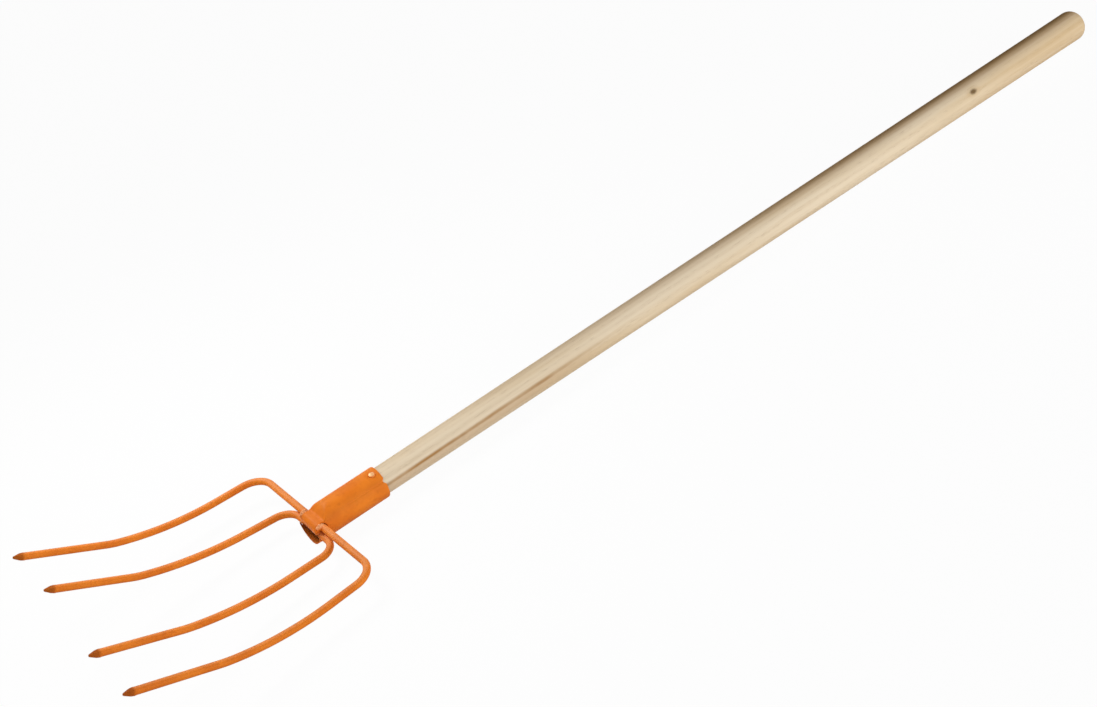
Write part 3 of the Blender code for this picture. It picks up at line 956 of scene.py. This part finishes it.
def on_the_sheet(place, angle):
    """The turn and place of an upright shape that stands on the sheet at an angle about the socket."""
    lean = Matrix.Rotation(math.radians(angle - 90), 4, "X")
    return Matrix.Translation((place, 0.0, 0.0)) @ lean


def corner_block(name, place, angle, side):
    """A block that stands on its corner and takes the sheet's corners off."""
    turn = on_the_sheet(place, angle) @ Matrix.Rotation(math.radians(45), 4, "Z")
    low = (-side / 2, -side / 2, bore_radius - cut_reach)
    return block(name, low, (side / 2, side / 2, socket_radius + cut_reach), turn)


slot_angle = math.degrees(math.asin(slot_bottom / sheet_middle_radius))
take_out(socket, corner_block("lower_lip_corner", 0.0, slot_angle, lip_corner_size))
take_out(socket, corner_block("seam_corner", -socket_length, seam_angle, seam_corner_size))

nail_turn = on_the_sheet(-nail_behind, nail_angle)
seat_profile = [(seat_radius, socket_radius - seat_depth), (seat_radius, socket_radius + cut_reach)]
take_out(socket, turned_solid("nail_seat", seat_profile, nail_turn))
hole_profile = [(hole_radius, bore_radius - cut_reach), (hole_radius, socket_radius)]
take_out(socket, turned_solid("nail_hole", hole_profile, nail_turn))

# %% Soften the socket
cell_size = 0.00053
softening = socket.modifiers.new("soften", "REMESH")
softening.mode = "VOXEL"
softening.voxel_size = cell_size
smoothing = socket.modifiers.new("smooth", "CORRECTIVE_SMOOTH")
smoothing.iterations = 14
smoothing.use_only_smooth = True
apply_steps(socket)
print("The socket has", len(socket.data.polygons), "faces after softening")

# %% [markdown]
# ## Seam and painted shade
#
# The sheet's two edges meet in a seam on the side that faces the camera. Enamel has filled it, so all that
# shows is a shallow groove: the points beside the seam are sunk by up to a third of a millimetre. Then each
# point inside the socket is marked for painted shade, so the enamel there turns dark, but less so on the
# mouth's floor, which light reaches. The socket's lower side gets a little painted shade, and the cut edge of
# the lip a painted highlight.

# %% Seam
seam_end = -socket_length + 0.06
seam_fade_run = 0.02
groove_depth, groove_half_width = 0.00032, 0.0015
seam_out = Vector((0.0, math.cos(math.radians(seam_angle)), math.sin(math.radians(seam_angle))))
for vertex in socket.data.vertices:
    rest = vertex.co - mouth
    if rest.x < seam_end and rest.dot(seam_out) > sheet_middle_radius:
        beside = (Vector((0.0, rest.y, rest.z)) - seam_out * rest.dot(seam_out)).length
        share_left = smooth_step(seam_end, seam_end - seam_fade_run, rest.x)
        vertex.co -= seam_out * groove_depth * (smooth_step(groove_half_width, 0.0, beside) * share_left)
print("The seam is", round((seam_end + socket_length) * 1000), "mm long")

# %% Mark the painted shade on the sheet and the painted highlight on its lip
middle_rows = pressed_rows(0.0)
# Strengths of the painted shade inside, of the light on the mouth's floor, and of the painted shade below.
inside_shade, mouth_light, lower_shade = 0.9, 0.45, 0.16


def sheet_height(x):
    """The height of the sheet's middle along the top of the socket."""
    for (before, low_height, _), (after, high_height, _) in zip(middle_rows, middle_rows[1:]):
        if before <= x <= after:
            return low_height + (high_height - low_height) * (x - before) / max(after - before, 1e-6)
    return middle_rows[0][1]


def shade_inside_and_below(rest):
    """How much painted shade a point gets: most inside the socket, less on the mouth's floor, and a little
    towards the lower side outside.
    """
    depth = 0.0003
    unskewed_x = rest.x - lip_skew * rest.y * smooth_step(flat_end, lip_place, rest.x)
    under_wall = math.hypot(rest.y, rest.z) < sheet_middle_radius - depth
    if under_wall and rest.z < sheet_height(unskewed_x) - depth:
        lit = smooth_step(-0.014, -0.002, rest.x) * smooth_step(-0.003, -0.012, rest.z)
        return inside_shade - mouth_light * lit
    # Outside the socket, painted shade grows towards the lower side.
    return lower_shade * smooth_step(0.002, -0.012, rest.z)


def lip_edge_highlight(rest):
    """The painted highlight: 1 at the cut edge of the lip, and 0 away from it."""
    beside_lip = smooth_step(0.0045, 0.0035, abs(rest.x - lip_place))
    return smooth_step(0.002, 0.0008, abs(rest.z - lip_height)) * beside_lip


def mark(piece, name, value_at):
    """Stores a value from 0 to 1 on each point of a piece, for its finish to read."""
    layer = piece.data.attributes.new(name, "FLOAT", "POINT")
    layer.data.foreach_set("value", [value_at(vertex.co - mouth) for vertex in piece.data.vertices])


mark(socket, "stain_and_painted_shade", shade_inside_and_below)
mark(socket, "painted_highlight", lip_edge_highlight)
socket.data.materials.clear()
socket.data.materials.append(enamel)
socket.data.polygons.foreach_set("use_smooth", [True] * len(socket.data.polygons))
stand_for(socket, "socket")

# %% [markdown]
# ## Weld beads
#
# A short bead holds each rod where it leaves the socket, above the outer rod and below the inner one. A hand
# welder drops the metal in a few steps, so a bead is a row of drops that run into each other. Slow noise
# pushes each point of a smooth drop in or out, which makes it lumpy without any seam. The outer beads get a
# painted highlight on top. The left inner bead fills the mouth's far corner and gets dark painted shade.

# %% Beads
outer_bead_sizes = Vector((0.0056, 0.0034, 0.0040))
inner_bead_sizes = Vector((0.0045, 0.0032, 0.0024))
outer_bead_shift = Vector((0.003, 0.0, -0.0016))
corner_bead_shift, corner_bead_growth = Vector((0.0006, 0.0, 0.0012)), 1.1
bead_sunk = 0.0008
bead_stain, painted_bead_shade = 0.15, 0.85


def weld_bead(name, side, rod, above, seed):
    """A lumpy bead in the corner between a rod and the socket's wall."""
    mesh_data = bmesh.new()
    stain = mesh_data.verts.layers.float.new("stain_and_painted_shade")
    bright = mesh_data.verts.layers.float.new("painted_highlight")
    bmesh.ops.create_icosphere(mesh_data, subdivisions=5, radius=1.0)
    height = rod.height + above * (rod_radius + contact_gap)
    centre = Vector((-rod.behind, side * (socket_radius - bead_sunk), height))
    half_sizes = inner_bead_sizes
    if above > 0:
        half_sizes = outer_bead_sizes
        centre += outer_bead_shift
    elif side < 0:
        half_sizes = corner_bead_growth * inner_bead_sizes
        centre += corner_bead_shift
    for vertex in mesh_data.verts:
        lumps = noise.noise(vertex.co * 1.3 + Vector((seed, 0.0, 0.0)))
        ripples = 0.05 * math.sin(vertex.co.x * 9 + seed)
        out = vertex.co * (0.92 + 0.16 * lumps + ripples)
        # The left inner bead gets painted shade, and the others get small stains where they are sunk.
        vertex[stain] = bead_stain * max(-lumps, 0.0) if above > 0 or side > 0 else painted_bead_shade
        # The outer beads get a painted highlight on top.
        vertex[bright] = smooth_step(-0.1, 0.6, vertex.co.z) if above > 0 else 0.0
        vertex.co = mouth + centre + Vector(out[axis] * half_sizes[axis] for axis in range(3))
    return add_object(name, mesh_data, enamel)


for seed, (side, word) in enumerate(((-1, "left"), (1, "right"))):
    outer_bead = weld_bead("outer_bead_" + word, side, outer_rod, 1, seed)
    stand_for(outer_bead, "outer_weld_" + word)
    inner_bead = weld_bead("inner_bead_" + word, side, inner_rod, -1, seed + 5)
    stand_for(inner_bead, "inner_weld_" + word)

# %% [markdown]
# ## The nail
#
# One nail through the top of the socket keeps the handle in. Its head is bare zinc, brown with age, where the
# hammer has knocked the paint off, and orange around the rim. The nail is turned like the handle, on a small
# scale, and its rim is marked for the finish.

# %% Zinc finish
zinc, tree, shader = new_finish("nail_zinc")
place = tree.nodes.new("ShaderNodeTexCoord").outputs["Object"]
hammered = even_noise(tree, place, 700.0, detail=3.0)
scratches = stretched_noise(tree, place, 300.0, 3500.0)
bright_zinc = screen_colour(232, 178, 124)
aged_zinc = screen_colour(196, 132, 78)
painted = fade(tree, do_sum(tree, "MULTIPLY_ADD", hammered, 0.5, marked(tree, "rim")), 0.55, 0.9)
bare = mix_colour(tree, fade(tree, scratches, 0.4, 0.7), bright_zinc, aged_zinc)
colour = mix_colour(tree, painted, bare, thick_orange)
tree.links.new(do_sum(tree, "MULTIPLY_ADD", painted, -0.35, 0.4, clamp=True), shader.inputs["Metallic"])
rough = do_sum(tree, "MULTIPLY_ADD", scratches, 0.3, 0.25)
feed(tree, shader, colour, rough, hammered, strength=0.4, distance=0.0003)
print("The zinc has", len(tree.nodes), "nodes")

# %% Nail
head_radius, head_height, head_rim_share = 0.0038, 0.0015, 0.3
shank_radius, shank_length, point_length = 0.0015, 0.022, 0.004
head_steps = 12
underside = socket_radius - seat_depth + contact_gap
profile = []
for step in range(1, head_steps):
    turn = math.radians(90 * step / head_steps)
    dome_share = head_rim_share + (1 - head_rim_share) * math.cos(turn)
    profile.append((head_radius * math.sin(turn), underside + head_height * dome_share))
profile += [(head_radius, underside + head_height * head_rim_share), (head_radius, underside)]
profile += [(shank_radius, underside), (shank_radius, underside - shank_length + point_length)]
profile.append((0.0001, underside - shank_length))


def near_rim(rest):
    """0 in the middle of the nail's head and 1 at its rim."""
    upright = nail_turn.inverted() @ rest
    return smooth_step(0.5 * head_radius, head_radius, math.hypot(upright.x, upright.y))


nail = turned_solid("socket_nail", profile, nail_turn, finish=zinc)
mark(nail, "rim", near_rim)
stand_for(nail, "fixing_nail")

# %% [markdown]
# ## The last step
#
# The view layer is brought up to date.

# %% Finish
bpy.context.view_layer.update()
